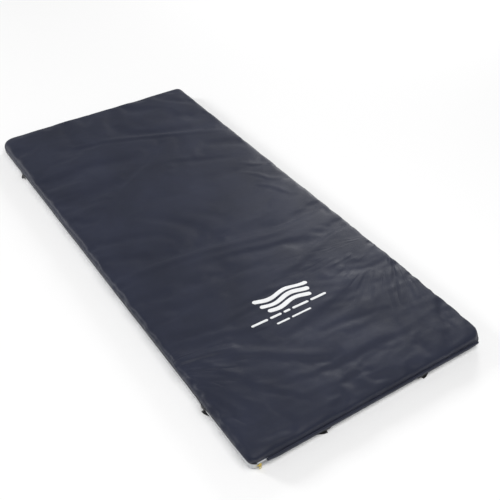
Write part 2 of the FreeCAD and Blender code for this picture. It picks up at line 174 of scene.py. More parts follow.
def clothHeight(x, y):
    # how far the cloth stands off the flat top, at places on the plan
    h = np.zeros(x.shape)
    for name, points, height, half in folds:
        h += wrinkles["foldGain"] * foldHeight(x, y, points, height, half)
    bend = noiseAt(x * 3.1 + 7, y * 3.1) * 0.05
    foot = smoothStep(0.15, -0.55, y)
    across = noiseAt((x + bend) * 5.5, (y + bend * 1.4 + 0.10 * x) * 27, 3.0)
    finer = noiseAt((x - bend) * 9.0, (y - bend - 0.16 * x) * 52, 9.0)
    ridged = 1 - 2 * np.abs(across)
    h += wrinkles["footHeight"] * foot * (0.55 * ridged + 0.5 * finer)
    h += wrinkles["headHeight"] * (1 - foot) * noiseAt(x * 9 + bend * 40, y * 12, 5.0)
    nearEdge = smoothStep(halfWidth - 0.10, halfWidth - 0.01, np.abs(x)) * smoothStep(0.35, -0.25, y)
    h += wrinkles["edgeHeight"] * nearEdge * noiseAt(x * 6, y * 42, 1.0)
    nearFoot = smoothStep(-halfLength + 0.12, -halfLength + 0.01, y)
    h += wrinkles["edgeHeight"] * nearFoot * noiseAt(x * 24, y * 7, 2.0)
    h += wrinkles["swell"] * noiseAt(x * 2.6, y * 2.2, 11.0)
    soft = wrinkles["rest"]  # the cloth lies on the core, so it only lifts
    lifted = 0.5 * (h + np.sqrt(h * h + soft * soft))
    over = np.maximum(lifted - wrinkles["soft"], 0)
    return np.minimum(lifted, wrinkles["soft"]) + wrinkles["most"] * np.tanh(over / wrinkles["most"])


def cornerRadiusAt(x, y, z):
    upper = smoothStep(seamZ, topZ - 12 * mm, z)
    footRight = 30 * mm + (cover["footRightCorner"] - 30 * mm) * upper
    radius = np.full(np.shape(x), cover["otherCorner"])
    radius = np.where((x < 0) & (y > 0), cover["headLeftCorner"], radius)
    return np.where((x > 0) & (y < 0), footRight, radius)


def roundCorners(x, y, z, already=0.0):
    # brings the plan's corners in to soft arcs, from square ones or ones already rounded a little
    radius = cornerRadiusAt(x, y, z)
    ax, ay = np.abs(x) - (halfWidth - already), np.abs(y) - (halfLength - already)
    depth = already - np.where((ax > 0) & (ay > 0), np.hypot(ax, ay), np.maximum(ax, ay))
    dx, dy = np.abs(x) - (halfWidth - radius), np.abs(y) - (halfLength - radius)
    inCorner = (dx > 0) & (dy > 0)
    scale = np.where(inCorner, (radius - depth) / np.maximum(np.hypot(dx, dy), 1e-9), 1.0)
    nx = np.where(inCorner, np.sign(x) * (halfWidth - radius + dx * scale), x)
    ny = np.where(inCorner, np.sign(y) * (halfLength - radius + dy * scale), y)
    return nx, ny


strapCentres = [0.5 * (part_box(name)[0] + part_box(name)[1])
                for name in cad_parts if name.startswith("strap") and "_tab_" in name]


def hemShift(x, y):
    # how far the cover's lower edge stands above its seam line
    shift = 1.1 * mm * noiseAt(x * 6, y * 6, 21.0) + 0.8 * mm * noiseAt(x * 17, y * 17, 4.0)
    for centre in strapCentres:
        d = np.hypot(x - centre.x, y - centre.y)
        shift = shift - cover["tongueDrop"] * np.clip(1 - d / cover["tongueHalf"], 0, 1) ** 1.5
    d = np.hypot(x + halfWidth, y + halfLength)
    return shift + cover["cornerLift"] * np.exp(-(d / (70 * mm)) ** 2)


def rollProfile(s, roll):
    # s runs out over the top edge and down the side: offset outwards, height below the top, and how upright
    flat = cover["cornerRadius"] - roll
    angle = np.clip((s - flat) / roll, 0, math.pi / 2)
    offset = np.minimum(s, flat) + roll * np.sin(angle)
    down = roll * (1 - np.cos(angle)) + np.maximum(s - flat - roll * math.pi / 2, 0)
    return offset, down, angle


def unfolded(step, roll, drop):
    # the cut cloth laid flat: grid lines out to the ends of the sides
    inX, inY = halfWidth - cover["cornerRadius"], halfLength - cover["cornerRadius"]
    arc = cover["cornerRadius"] - roll + roll * math.pi / 2 + max(drop - roll, 0)
    rows = max(4, round(arc / (step * 0.72)))
    side = np.linspace(0, arc, rows + 1)[1:]

    def line(inner):
        count = max(2, round(2 * inner / step))
        return np.concatenate([-inner - side[::-1], np.linspace(-inner, inner, count + 1), inner + side])

    return line(inX), line(inY), inX, inY


def gridFaces(nx, ny, flip=False):
    i, j = np.meshgrid(np.arange(nx - 1), np.arange(ny - 1), indexing="ij")
    a = (i * ny + j).ravel()
    quads = np.stack([a, a + ny, a + ny + 1, a + 1], 1)
    return quads[:, ::-1] if flip else quads


def shellPoints(step, roll, drop):
    # the cloth folded over the block: place, outward direction, and how far down the side
    us, vs, inX, inY = unfolded(step, roll, drop)
    u, v = np.meshgrid(us, vs, indexing="ij")
    du, dv = np.maximum(np.abs(u) - inX, 0), np.maximum(np.abs(v) - inY, 0)
    s = np.maximum(du, dv)
    offset, down, angle = rollProfile(s, roll)
    turn = np.where(du >= dv, 0.25 * math.pi * dv / np.maximum(du, 1e-9),
                    0.5 * math.pi - 0.25 * math.pi * du / np.maximum(dv, 1e-9))
    turn = np.where(s > 0, turn, 0)
    ox = np.where(du > 0, np.cos(turn), 0) * np.sign(u)
    oy = np.where(dv > 0, np.sin(turn), 0) * np.sign(v)
    x = np.clip(u, -inX, inX) + ox * offset
    y = np.clip(v, -inY, inY) + oy * offset
    out = np.stack([ox * np.sin(angle), oy * np.sin(angle), np.cos(angle)], -1)
    return x, y, down, out, len(us), len(vs)


def newMesh(name, points, faces, smooth=True):
    mesh = bpy.data.meshes.new(name)
    mesh.from_pydata([tuple(p) for p in points], [], [tuple(int(i) for i in f) for f in faces])
    mesh.update()
    if smooth:
        mesh.shade_smooth()
    piece = bpy.data.objects.new(name, mesh)
    bpy.context.scene.collection.objects.link(piece)
    return piece


def applied(piece):
    # turns the modifiers' result into the piece's own mesh
    bpy.context.view_layer.update()
    done = bpy.data.meshes.new_from_object(piece.evaluated_get(bpy.context.evaluated_depsgraph_get()))
    old = piece.data
    piece.modifiers.clear()
    piece.data = done
    bpy.data.meshes.remove(old)
    return piece


def subdivided(piece, levels=1):
    m = piece.modifiers.new("subdivide", "SUBSURF")
    m.levels = m.render_levels = levels
    return applied(piece)


def thickened(piece, thickness):
    m = piece.modifiers.new("wall", "SOLIDIFY")
    m.thickness = thickness
    m.offset = -1.0
    return applied(piece)


# pieces made of plain meshes

def reworked(piece, change):
    # runs one change on the piece's mesh
    work = bmesh.new()
    work.from_mesh(piece.data)
    work.faces.ensure_lookup_table()
    change(work)
    work.to_mesh(piece.data)
    work.free()
    return piece


def outwardFaces(piece):
    return reworked(piece, lambda work: bmesh.ops.recalc_face_normals(work, faces=work.faces))


# materials

def setInputs(tree, node, inputs):
    # each input gets a plain value or a link
    for key, value in inputs.items():
        if isinstance(value, bpy.types.NodeSocket):
            tree.links.new(value, node.inputs[key])
        else:
            node.inputs[key].default_value = value


def addNode(tree, kind, inputs=None, **settings):
    node = tree.nodes.new(kind)
    for key, value in settings.items():
        setattr(node, key, value)
    setInputs(tree, node, inputs or {})
    return node.outputs


def newMaterial(name):
    material = bpy.data.materials.new(name)
    material.use_nodes = True
    return material, material.node_tree, material.node_tree.nodes["Principled BSDF"]


def placed(tree, scale=(1, 1, 1)):
    # Object coordinates, stretched by a scale on each axis
    spot = addNode(tree, "ShaderNodeTexCoord")["Object"]
    return addNode(tree, "ShaderNodeMapping", {"Scale": scale, "Vector": spot})["Vector"]


def noiseNode(tree, size, detail=4.0, rough=0.55, scale=(1, 1, 1)):
    return addNode(tree, "ShaderNodeTexNoise", {"Scale": size, "Detail": detail, "Roughness": rough,
                                                "Vector": placed(tree, scale)})["Fac"]


def waveNode(tree, place, size, direction, distortion, detail=1.0):
    return addNode(tree, "ShaderNodeTexWave", {"Scale": size, "Distortion": distortion, "Detail": detail,
                                               "Vector": place}, bands_direction=direction)["Fac"]


def ramp(tree, source, look, start=0.3, end=0.7):
    # runs from the look's dark colour to its light one
    node = tree.nodes.new("ShaderNodeValToRGB")
    for stop, place, colour in zip(node.color_ramp.elements, (start, end), (look["dark"], look["light"])):
        stop.position = place
        stop.color = (*colour, 1)
    tree.links.new(source, node.inputs["Fac"])
    return node.outputs["Color"]


def mathNode(tree, operation, *values):
    return addNode(tree, "ShaderNodeMath", dict(enumerate(values)), operation=operation)[0]


def mapRange(tree, source, low, high):
    return addNode(tree, "ShaderNodeMapRange", {"To Min": low, "To Max": high, "Value": source})["Result"]


def bumped(tree, source, strength, distance, before=None):
    inputs = {"Strength": strength, "Distance": distance, "Height": source}
    if before is not None:
        inputs["Normal"] = before
    return addNode(tree, "ShaderNodeBump", inputs)["Normal"]


def fanCreases(tree, fan):
    # sharp little creases that spread from one place at the edge, in patches
    split = addNode(tree, "ShaderNodeSeparateXYZ", {0: placed(tree)})
    inward = -1.0 if fan["at"][0] > 0 else 1.0
    dx = mathNode(tree, "MULTIPLY", mathNode(tree, "SUBTRACT", split["X"], fan["at"][0]), inward)
    dy = mathNode(tree, "SUBTRACT", split["Y"], fan["at"][1])
    turn = mathNode(tree, "ARCTAN2", dy, dx)
    squares = [mathNode(tree, "MULTIPLY", d, d) for d in (dx, dy)]
    away = mathNode(tree, "SQRT", mathNode(tree, "ADD", *squares))
    rays = addNode(tree, "ShaderNodeCombineXYZ", {"X": mathNode(tree, "MULTIPLY", turn, fan["count"]),
                                                  "Y": mathNode(tree, "MULTIPLY", away, fan["wander"])})
    crease = addNode(tree, "ShaderNodeTexNoise", {"Scale": 1.0, "Detail": 1.0, "Vector": rays["Vector"]})
    height = mathNode(tree, "ABSOLUTE", mathNode(tree, "SUBTRACT", crease["Fac"], 0.5))
    patches = noiseNode(tree, fan["patchSize"], 1.0)
    for source, nothing, full in ((away, fan["reach"], 0.25 * fan["reach"]), (turn, *fan["turns"]),
                                  (patches, 0.40, 0.60)):
        mask = addNode(tree, "ShaderNodeMapRange", {"From Min": nothing, "From Max": full, "Value": source},
                       interpolation_type="SMOOTHSTEP")
        height = mathNode(tree, "MULTIPLY", height, mask["Result"])
    return height


def clothMaterial(name, look):
    # woven or knitted cloth: colour that drifts a little, threads, and fine crumples
    material, tree, shader = newMaterial(name)
    place = placed(tree)
    warp, weft, upright = (waveNode(tree, place, 1 / look["pitch"], axis, 0.4) for axis in "XYZ")
    weave = mathNode(tree, "MULTIPLY", mathNode(tree, "ADD", warp, weft), upright)
    normal = bumped(tree, weave, look["weaveStrength"], 0.15 * mm)
    if "crumple" in look:
        crumple = noiseNode(tree, look["crumpleSize"], 6.0, 0.62, look.get("crumpleStretch", (1, 1, 1)))
        normal = bumped(tree, crumple, look["crumple"], 2.0 * mm, normal)
    for fan in look.get("fans", ()):
        normal = bumped(tree, fanCreases(tree, fan), 1.0, fan["depth"], normal)
    setInputs(tree, shader, {
        "Base Color": ramp(tree, noiseNode(tree, look["driftSize"], 5.0), look, 0.32, 0.68),
        "Roughness": mapRange(tree, noiseNode(tree, 30.0, 3.0), *look["roughness"]),
        "Specular IOR Level": look["specular"], "Sheen Weight": look["sheen"], "Sheen Roughness": 0.4,
        "Sheen Tint": (*look.get("sheenTint", look["light"]), 1), "Normal": normal,
    })
    return material


def webbingMaterial(name, look):
    # bands read their own map: ribs run across
    material, tree, shader = newMaterial(name)
    place = addNode(tree, "ShaderNodeUVMap", uv_map="band")["UV"]
    ribs = [waveNode(tree, place, 1 / pitch / 3.2, direction, 0.6, 2.0)
            for direction, pitch in (("Y", look["pitch"]), ("X", look["pitch"] * 1.3))]
    weave = mathNode(tree, "MULTIPLY", *ribs)
    setInputs(tree, shader, {
        "Base Color": ramp(tree, weave, look, 0.1, 0.8), "Normal": bumped(tree, weave, 0.7, 0.3 * mm),
        "Roughness": mapRange(tree, noiseNode(tree, 80.0), *look["roughness"]),
        "Sheen Weight": look["sheen"], "Specular IOR Level": look["specular"],
    })
    return material


def smoothMaterial(name, look):
    # moulded plastic, film, gel or metal: nearly even, with fine marks
    material, tree, shader = newMaterial(name)
    marks = noiseNode(tree, look.get("markSize", 400.0), 3.0, scale=look.get("markStretch", (1, 1, 1)))
    setInputs(tree, shader, {
        "Base Color": ramp(tree, noiseNode(tree, 60.0), look),
        "Roughness": mapRange(tree, marks, *look["roughness"]),
        "Normal": bumped(tree, marks, look.get("bump", 0.1), 0.1 * mm),
        "Metallic": look.get("metal", 0.0), "Specular IOR Level": 0.5,
        "Transmission Weight": look.get("clear", 0.0), "Coat Weight": look.get("coat", 0.0),
    })
    return material


def foamMaterial(name, look):
    # open cells, and a colour that drifts
    material, tree, shader = newMaterial(name)
    cells = addNode(tree, "ShaderNodeTexVoronoi", {"Scale": look["cells"], "Vector": placed(tree)})
    setInputs(tree, shader, {
        "Base Color": ramp(tree, noiseNode(tree, 12.0), look),
        "Roughness": mapRange(tree, noiseNode(tree, 90.0), 0.85, 0.98),
        "Normal": bumped(tree, cells["Distance"], 0.6, 0.5 * mm), "Specular IOR Level": 0.2,
    })
    return material


nylonLook = {
    "dark": (0.011, 0.014, 0.029), "light": (0.018, 0.022, 0.043), "roughness": (0.45, 0.58),
    "specular": 0.27, "sheen": 0.04, "sheenTint": (0.55, 0.60, 0.75), "pitch": 2.2 * mm,
    "weaveStrength": 0.12,
    "crumple": 0.30, "crumpleSize": 22.0, "crumpleStretch": (0.7, 1.6, 1.0), "driftSize": 5.0,
    "fans": [
        {"at": (-0.52, -0.54), "count": 4.6, "wander": 2.4, "reach": 0.62, "depth": 20.0 * mm,
         "turns": (0.45, -0.10), "patchSize": 9.0},
        {"at": (0.50, -0.42), "count": 6.5, "wander": 2.4, "reach": 0.66, "depth": 17.0 * mm,
         "turns": (0.45, -0.10), "patchSize": 9.0},
    ],
}
vinylLook = {
    "dark": (0.56, 0.57, 0.59), "light": (0.70, 0.71, 0.73), "roughness": (0.38, 0.55), "specular": 0.4,
    "sheen": 0.0, "pitch": 1.4 * mm, "weaveStrength": 0.1, "crumple": 0.35, "crumpleSize": 40.0,
    "driftSize": 14.0,
}
strapLook = {
    "dark": (0.006, 0.006, 0.007), "light": (0.016, 0.016, 0.018), "roughness": (0.7, 0.9),
    "specular": 0.25, "sheen": 0.3, "pitch": 1.6 * mm,
}
bindingLook = dict(strapLook, dark=(0.012, 0.013, 0.017), light=(0.022, 0.024, 0.030), pitch=0.9 * mm)
tapeLook = {
    "dark": (0.36, 0.37, 0.39), "light": (0.50, 0.51, 0.53), "roughness": (0.75, 0.92), "specular": 0.25,
    "sheen": 0.2, "pitch": 0.9 * mm,
}
labelLook = dict(tapeLook, dark=(0.72, 0.72, 0.70), light=(0.84, 0.84, 0.82), pitch=0.7 * mm,
                 weaveStrength=0.3, driftSize=50.0)
sleeveLook = dict(tapeLook, dark=(0.62, 0.60, 0.53), light=(0.76, 0.74, 0.68), pitch=2.4 * mm,
                  weaveStrength=0.7, driftSize=50.0, crumple=0.3, crumpleSize=18.0)
inkLook = {"dark": (0.80, 0.81, 0.82), "light": (0.90, 0.91, 0.92), "roughness": (0.45, 0.6),
           "markSize": 900.0}
toothLook = {"dark": (0.40, 0.41, 0.43), "light": (0.52, 0.53, 0.55), "roughness": (0.3, 0.45)}
metalLook = {"dark": (0.62, 0.47, 0.11), "light": (0.80, 0.66, 0.22), "roughness": (0.24, 0.42),
             "metal": 0.75, "markStretch": (1, 1, 6), "coat": 0.2, "bump": 0.2}
filmLook = {"dark": (0.55, 0.66, 0.78), "light": (0.66, 0.76, 0.86), "roughness": (0.12, 0.25),
            "clear": 0.6}
gelLook = {"dark": (0.05, 0.22, 0.50), "light": (0.09, 0.32, 0.62), "roughness": (0.08, 0.16),
           "clear": 0.4}
softFoamLook = {"dark": (0.74, 0.70, 0.52), "light": (0.84, 0.81, 0.66), "cells": 420.0}
firmFoamLook = {"dark": (0.28, 0.36, 0.48), "light": (0.38, 0.46, 0.58), "cells": 300.0}
threadLook = {"dark": (0.02, 0.022, 0.028), "light": (0.05, 0.054, 0.065), "roughness": (0.6, 0.8)}
paleThreadLook = {"dark": (0.55, 0.56, 0.58), "light": (0.70, 0.71, 0.73), "roughness": (0.6, 0.8)}

nylon = clothMaterial("coatedNylon", nylonLook)
vinyl = clothMaterial("paleVinyl", vinylLook)
webbing = webbingMaterial("stretchWebbing", strapLook)
tapeWeave = webbingMaterial("zipTapeWeave", tapeLook)
bindingWeave = webbingMaterial("bindingWeave", bindingLook)
labelCloth = clothMaterial("labelCloth", labelLook)
sleeveCloth = clothMaterial("knitSleeve", sleeveLook)
ink = smoothMaterial("whiteInk", inkLook)
toothPlastic = smoothMaterial("zipTeeth", toothLook)
brassPaint = smoothMaterial("zipMetal", metalLook)
film = smoothMaterial("bladderFilm", filmLook)
gel = smoothMaterial("blueGel", gelLook)
thread = smoothMaterial("darkThread", threadLook)
paleThread = smoothMaterial("paleThread", paleThreadLook)
softFoam = foamMaterial("softFoam", softFoamLook)
firmFoam = foamMaterial("firmFoam", firmFoamLook)
print("materials ready")


def finishPiece(piece, body, slot, material, *nodes):
    if not piece.data.materials:
        piece.data.materials.append(material)
    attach(piece, body)
    if nodes:
        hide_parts(*nodes)
    return piece


# top cover

def makeTopCover():
    drop = topZ - seamZ
    x, y, down, out, nx, ny = shellPoints(cover["gridStep"], cover["edgeRoll"], drop)
    side = smoothStep(cover["edgeRoll"], drop, down)
    z = topZ - down
    h = clothHeight(x, y)
    h = h * (1 - 0.75 * side)
    z = z + hemShift(x, y) * side ** 1.3
    x, y = roundCorners(x, y, z, cover["cornerRadius"])
    upright = smoothStep(0.3, 0.9, np.hypot(out[..., 0], out[..., 1]))
    bulge = cover["bulge"] * np.sin(np.pi * np.clip(down / drop, 0, 1)) * upright
    wave = cover["edgeWave"] * (noiseAt(x * 3, y * 8, 14.0) + 0.5 * noiseAt(x * 8, y * 19, 15.0))
    wave = 0.5 * (wave + np.hypot(wave, 1 * mm))  # the edge only swells outwards
    bulge = bulge + upright * (1 - 0.8 * side) * (0.6 + 0.4 * smoothStep(0.4, -0.5, y)) * wave
    underFlap = smoothStep(-0.5, -0.9, out[..., 1]) * smoothStep(6 * mm, 12 * mm, down)
    rise = (h + bulge) * (1 - underFlap) - 0.4 * mm
    p = np.stack([x, y, z], -1) + out * rise[..., None]
    return newMesh("topCoverCloth", p.reshape(-1, 3), gridFaces(nx, ny)), out.reshape(-1, 3)


drape = {"frames": 20, "slack": 0.024, "headTight": 0.60, "pressure": 0.12, "cap": 7.0 * mm,
         "stiffness": 14.0, "bending": 0.25, "highest": 10.0 * mm}


def pointsOf(mesh):
    flat = np.empty(len(mesh.vertices) * 3)
    mesh.vertices.foreach_get("co", flat)
    return flat.reshape(-1, 3)


def draped(piece, out):
    # cloth cut a little larger than the core, sewn at the hem, creases under its own slack
    start = pointsOf(piece.data)
    hem = piece.vertex_groups.new(name="hem")
    for index, z in enumerate(start[:, 2]):
        hem.add([index], float(1 - smoothStep(seamZ, topZ - 4 * mm, z)), "REPLACE")
    tight = piece.vertex_groups.new(name="tight")
    for index, y in enumerate(start[:, 1]):
        tight.add([index], float(drape["headTight"] * smoothStep(-0.55, 0.25, y)), "REPLACE")
    cloth = piece.modifiers.new("drape", "CLOTH")
    cloth.point_cache.frame_start = 1
    cloth.point_cache.frame_end = drape["frames"]
    how = cloth.settings
    how.quality = 6
    how.mass = 0.25
    how.tension_stiffness = how.compression_stiffness = how.shear_stiffness = drape["stiffness"]
    how.bending_stiffness = drape["bending"]
    how.vertex_group_mass = "hem"
    how.shrink_max = 0.0
    how.shrink_min = -drape["slack"]
    how.vertex_group_shrink = "tight"
    how.use_pressure = True
    how.uniform_pressure_force = drape["pressure"]
    how.effector_weights.gravity = 0
    for frameNumber in range(1, drape["frames"] + 1):
        bpy.context.scene.frame_set(frameNumber)
    seen = piece.evaluated_get(bpy.context.evaluated_depsgraph_get())
    move = pointsOf(seen.data) - start
    piece.modifiers.clear()
    bpy.context.scene.frame_set(1)
    far = np.linalg.norm(move, axis=1)[:, None]
    move *= np.minimum(1, drape["cap"] / np.maximum(far, 1e-9))
    inward = np.minimum((move * out).sum(1), 0)[:, None]
    move -= out * inward * 0.8
    done = start + move
    flat = out[:, 2] > 0.9
    done[:, 2] = np.where(flat, np.maximum(done[:, 2], topZ - 0.2 * mm), done[:, 2])
    over = done[:, 2] - topZ
    done[:, 2] = np.where(over > 0, topZ + drape["highest"] * np.tanh(over / drape["highest"]), done[:, 2])
    piece.data.vertices.foreach_set("co", done.ravel())
    print("cloth moved", far.max(), far.mean())


coverPiece, coverOut = makeTopCover()
draped(coverPiece, coverOut)
coverSkin = subdivided(coverPiece)
coverTree = BVHTree.FromObject(coverSkin, bpy.context.evaluated_depsgraph_get())
thickened(coverSkin, cover["thickness"])
finishPiece(coverSkin, "overlay", "coated_nylon", nylon, "top_cover")
print("top cover ready", len(coverSkin.data.polygons))


# base cover

base = {
    "gridStep": 12.0 * mm, "edgeRoll": 5.0 * mm, "inset": 0.9 * mm, "thickness": 0.7 * mm,
    "dent": 1.9 * mm,  # under a strap
    "rise": 8.0 * mm,  # how far it goes up behind the top cover
    "zipRecess": 3.0 * mm,
}
strap = {
    "width": 25.0 * mm, "thickness": 1.1 * mm, "bow": 30.0 * mm, "fromCorner": 254.0 * mm,
    "height": 0.8 * mm, "turn": 4.2 * mm, "offWall": 0.7 * mm, "wallSteps": 6, "turnSteps": 6,
    "arcSteps": 40, "arcStart": 0.045, "easeIn": 0.22, "leadSteps": 22,
}
corners = {"foot_left": (-1, -1), "foot_right": (1, -1), "head_left": (-1, 1), "head_right": (1, 1)}
chordHalf = strap["fromCorner"] / math.sqrt(2)
strapRadius = (chordHalf ** 2 + strap["bow"] ** 2) / (2 * strap["bow"])


def strapCircle(corner):
    # middle of the strap's arc, and the direction from there to the corner
    sx, sy = corners[corner]
    outward = np.array([sx, sy]) / math.sqrt(2)
    half = strap["fromCorner"] / 2
    middle = np.array([sx * (halfWidth - half), sy * (halfLength - half)])
    return middle - outward * (strapRadius - strap["bow"]), outward


def strapDent(x, y):
    # the straps press soft grooves into the underside
    dent = np.zeros(np.shape(x))
    for corner in corners:
        centre, outward = strapCircle(corner)
        r = np.hypot(x - centre[0], y - centre[1])
        beyond = (x - centre[0]) * outward[0] + (y - centre[1]) * outward[1]
        beyond -= strapRadius - strap["bow"]
        off = np.abs(r - strapRadius) - strap["width"] / 2
        dent = np.maximum(dent, (1 - smoothStep(0, 12 * mm, off)) * smoothStep(-30 * mm, -20 * mm, beyond))
    return dent * base["dent"]


def makeBaseCover():
    x, y, down, out, nx, ny = shellPoints(base["gridStep"], base["edgeRoll"], seamZ + base["rise"])
    x, y = roundCorners(x, y, down, cover["cornerRadius"])
    ripple = 0.6 * mm * noiseAt(x * 9, y * 9, 2.0) * smoothStep(0, 8 * mm, down)
    flat = np.abs(out[..., 2]) > 0.9
    z = down + np.where(flat, strapDent(x, y) + 0.5 * mm * np.abs(noiseAt(x * 7, y * 7, 6.0)), 0) + 0.2 * mm
    proud = ripple - base["inset"]
    p = np.stack([x + out[..., 0] * proud, y + out[..., 1] * proud, z], -1)
    besideZip = (z > tapeLow.z) & (z < seamZ - 1 * mm)
    atZip = besideZip & (out[..., 1] < -0.9) & (np.abs(x) < tapeHigh.x + 4 * mm)
    p[..., 1] += np.where(atZip, base["zipRecess"], 0)
    return newMesh("baseCoverVinyl", p.reshape(-1, 3), gridFaces(nx, ny, flip=True))


basePiece = thickened(makeBaseCover(), base["thickness"])
finishPiece(basePiece, "overlay", "pale_vinyl", vinyl, "base_cover")
print("base cover ready")


# ribbons: straps, tapes, binding and label

def ribbon(name, path, across, width, thickness, cells=8):
    # a flat band along a path; across gives the direction of its width at each point
    path, across = np.array(path, float), np.array(across, float)
    along = np.gradient(path, axis=0)
    along /= np.linalg.norm(along, axis=1)[:, None]
    across = across - (across * along).sum(1)[:, None] * along
    across /= np.linalg.norm(across, axis=1)[:, None]
    up = np.cross(along, across)
    u = np.linspace(-0.5, 0.5, cells + 1)
    edge = np.clip((0.5 - np.abs(u)) / 0.06, 0.25, 1.0)
    top = [(w * width, 0.5 * thickness * e) for w, e in zip(u, edge)]
    ring = top + [(w * width, -0.5 * thickness * e) for w, e in zip(u[::-1], edge)]
    points = [p + a * c + n * h for p, a, n in zip(path, across, up) for c, h in ring]
    size, rows = len(ring), len(path)
    faces = []
    for first in range(0, (rows - 1) * size, size):
        for k in range(size):
            after = first + (k + 1) % size
            faces.append((first + k, after, after + size, first + k + size))
    for first in (0, (rows - 1) * size):  # the two ends
        caps = [(first + k, first + k + 1, first + size - 2 - k, first + size - 1 - k)
                for k in range(cells)]
        faces += caps if first else [c[::-1] for c in caps]
    piece = newMesh(name, points, faces)
    step = np.concatenate([[0], np.cumsum(np.linalg.norm(np.diff(path, axis=0), axis=1))])
    layer = piece.data.uv_layers.new(name="band")
    for loop in piece.data.loops:
        r, k = divmod(loop.vertex_index, size)
        layer.data[loop.index].uv = (ring[k][0], step[r])
    outwardFaces(piece)
    return piece


def tabName(corner, atSide):
    return ("strap_side_tab_" if atSide else "strap_end_tab_") + corner


def strapHalf(corner, atSide):
    # from its sewn end on the wall, round the lower edge, and along the arc to the strap's middle
    sx, sy = corners[corner]
    centre, outward = strapCircle(corner)
    low, high = (np.array(end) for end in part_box(tabName(corner, atSide)))
    acrossX, acrossY = np.array([sx, 0.0, 0.0]), np.array([0.0, sy, 0.0])
    out3, along3 = (acrossX, acrossY) if atSide else (acrossY, acrossX)
    place = np.abs(low + high) / 2 * along3
    wall = place + out3 * ((halfWidth if atSide else halfLength) + strap["offWall"])
    turn = strap["turn"]
    upright = np.array([0.0, 0.0, 1.0])
    path = [wall + upright * z
            for z in np.linspace(high[2], strap["height"] + turn, strap["wallSteps"])]
    for a in np.linspace(0, math.pi / 2, strap["turnSteps"] + 1)[1:]:
        inward = out3 * turn * (math.cos(a) - 1)
        path.append(wall + inward + upright * (strap["height"] + turn * (1 - math.sin(a))))
    across = [along3] * len(path)
    startAngle = math.atan2(*wall[[1, 0]] - centre[[1, 0]])
    middleAngle = math.atan2(outward[1], outward[0])
    for t in np.arange(1, strap["arcSteps"] + 1) / strap["arcSteps"]:
        share = strap["arcStart"] + (1 - strap["arcStart"]) * t
        angle = startAngle + (middleAngle - startAngle) * share
        radial = np.array([math.cos(angle), math.sin(angle), 0.0])
        ease = smoothStep(0, strap["easeIn"], t)
        lean = along3 if radial @ along3 > 0 else -along3
        path.append(np.array([*centre, strap["height"]]) + radial * strapRadius)
        across.append(lean * (1 - ease) + radial * ease)
    onWall = strap["wallSteps"] + strap["turnSteps"]
    if across[0] @ across[-1] < 0:
        across = [a if k <= onWall else -a for k, a in enumerate(across)]
    name = "strap_%s_%s" % (corner, "side" if atSide else "end")
    piece = ribbon(name + "Webbing", path, across, strap["width"], strap["thickness"])
    piece.data.materials.append(webbing)
    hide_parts(tabName(corner, atSide), "strap_" + corner)
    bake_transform(piece)


for corner in corners:
    strapHalf(corner, True)
    strapHalf(corner, False)
print("straps ready")


def outlinePath(step=6 * mm):
    # round the left side, the head end and the right side
    r = cover["cornerRadius"]
    inX, inY = halfWidth - r, halfLength - r
    spots = []
    for x0, y0, a0 in ((-inX, -inY, 1.5), (-inX, inY, 1.0), (inX, inY, 0.5), (inX, -inY, 0.0)):
        for a in np.linspace(a0 * math.pi, (a0 - 0.5) * math.pi, 9):
            spots.append(np.array([x0 + r * math.cos(a), y0 + r * math.sin(a)]))
    filled = [spots[0]]
    for a, b in zip(spots[:-1], spots[1:]):
        count = max(1, round(math.hypot(*(b - a)) / step))
        filled += [a + (b - a) * k / count for k in range(1, count + 1)]
    return np.array(filled).T


def bindingLine(offset, below=2.0 * mm):
    # along the cover's lower edge, a little outside it
    x, y = outlinePath()
    z = seamZ - below + hemShift(x, y)
    nx, ny = roundCorners(x, y, z, cover["cornerRadius"])
    tangent = np.gradient(np.stack([nx, ny], -1), axis=0)
    out = np.stack([-tangent[:, 1], tangent[:, 0]], -1)
    out /= np.linalg.norm(out, axis=1)[:, None]
    out *= np.sign((out * np.stack([nx, ny], -1)).sum(1))[:, None]
    return np.stack([nx + out[:, 0] * offset, ny + out[:, 1] * offset, z], -1)


def makeBinding():
    path = bindingLine(0.5 * mm)
    up = np.tile([0.0, 0.0, 1.0], (len(path), 1))
    height = bindingHigh.z - bindingLow.z + 0.8 * mm
    piece = ribbon("seamBindingTape", path, up, height, 1.3 * mm, 6)
    finishPiece(piece, "overlay", "binding_tape", bindingWeave, "seam_binding")


makeBinding()


def makeTape(node, name, rows=90):
    low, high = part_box(node)
    x = np.linspace(low.x, high.x, rows)
    y, z = 0.5 * (low.y + high.y), 0.5 * (low.z + high.z)
    path = np.stack([x, x * 0 + y, z + 0.12 * mm * np.sin(x * 90)], -1)
    up = np.tile([0.0, 0.0, 1.0], (rows, 1))
    piece = ribbon(name, path, up, high.z - low.z - 0.2 * mm, high.y - low.y, 6)
    finishPiece(piece, "overlay", "zip_tape", tapeWeave, node)


makeTape("zip_tape_upper", "zipTapeUpper")
makeTape("zip_tape_lower", "zipTapeLower")


# flap over the zip

flapShape = {
    "rows": 9, "step": 5.0 * mm, "sway": 0.8 * mm, "thickness": 0.7 * mm, "knee": 0.30,
    "lift": 4.8 * mm, "endTaper": 60.0 * mm, "endLift": 6.0 * mm,
}


